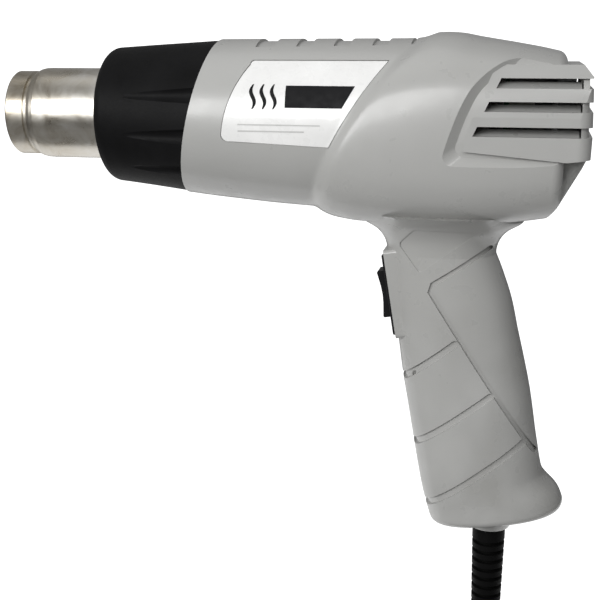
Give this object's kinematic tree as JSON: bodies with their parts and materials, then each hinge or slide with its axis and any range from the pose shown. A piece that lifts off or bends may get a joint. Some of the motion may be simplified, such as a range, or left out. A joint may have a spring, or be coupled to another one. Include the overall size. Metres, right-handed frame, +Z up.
{
  "type": "heat gun",
  "caption": "Hand-held electric hot-air gun: steel nozzle, black nose collar, grey moulded body with rear air vents, angled pistol grip with front rocker switch, mains cord.",
  "frame": {"origin": "middle of the pistol grip, on the plane where the two shells meet", "axes": "+Z up, nozzle pointing along -X, +Y to the tool's far side (the side of the screw heads)"},
  "size_m": [0.2306, 0.072, 0.5137],
  "materials": {
    "shell_plastic": "pearl grey, fine satin grain",
    "label_white": "gloss",
    "collar_black": "fine spark-eroded grain",
    "nozzle_steel": "polished, slightly brushed round",
    "zinc_steel": "zinc plated",
    "mica": "dull",
    "nichrome": "dull drawn wire",
    "ceramic_white": "matt",
    "cutout_metal": "plain",
    "duct_plastic": "satin",
    "fan_plastic": "satin",
    "motor_steel": "plated",
    "magnet_ferrite": "dull",
    "motor_core": "laminated",
    "copper": "enamelled",
    "bush_bronze": "sintered",
    "cap_plastic": "satin",
    "carbon": "dull",
    "board_green": "solder mask",
    "switch_black": "satin",
    "tin_brass": "tinned",
    "wire_blue": "satin",
    "wire_brown": "satin",
    "wire_sleeve": "glass-braid sleeve",
    "cord_rubber": "satin",
    "tie_black": "woven hook-and-loop",
    "pin_nickel": "nickel plated"
  },
  "bodies": {
    "housing": {"left_shell": "shell_plastic", "right_shell": "shell_plastic", "label_left": "label_white", "label_right": "label_white", "shell_screws": "zinc_steel", "nose_collar": "collar_black", "nozzle_tube": "nozzle_steel", "mica_sleeve": "mica", "mica_former": "mica", "heating_coil_front": "nichrome", "heating_coil_rear": "nichrome", "heater_disc": "ceramic_white", "thermal_cutout": "cutout_metal", "air_duct": "duct_plastic", "motor_bracket": "duct_plastic", "motor_screws": "zinc_steel", "motor_can": "motor_steel", "motor_magnets": "magnet_ferrite", "motor_bushes": "bush_bronze", "motor_cap": "cap_plastic", "motor_brushes": "carbon", "circuit_board": "board_green", "board_diodes": "collar_black", "board_capacitor": "cap_plastic", "switch_case": "switch_black", "switch_terminals": "tin_brass", "cord_clamp": "duct_plastic", "clamp_screws": "zinc_steel", "terminal_block": "cap_plastic", "terminal_screws": "zinc_steel", "mains_wires": "wire_blue", "switch_wires": "wire_brown", "heater_leads": "wire_sleeve", "motor_leads": "wire_blue", "strain_relief": "cord_rubber", "cord_inner": "cord_rubber", "cord_lead": "cord_rubber", "cord_hank": "cord_rubber", "hank_tie": "tie_black", "cord_tail": "cord_rubber", "plug_body": "cord_rubber", "plug_pins": "pin_nickel"},
    "rotor": {"fan": "fan_plastic", "motor_shaft": "motor_steel", "motor_armature": "motor_core", "motor_windings": "copper", "motor_commutator": "copper"},
    "rocker": {"switch_rocker": "switch_black"}
  },
  "joints": [
    {"name": "rotor_spin", "type": "hinge", "parent": "housing", "child": "rotor", "pos_m": [-0.015, 0, 0.1], "axis": [1, 0, 0], "continuous": true},
    {"name": "switch_rock", "type": "hinge", "parent": "housing", "child": "rocker", "pos_m": [-0.02444, 0, 0.03109], "axis": [0, 1, 0], "range_deg": [-10, 10]}
  ]
}
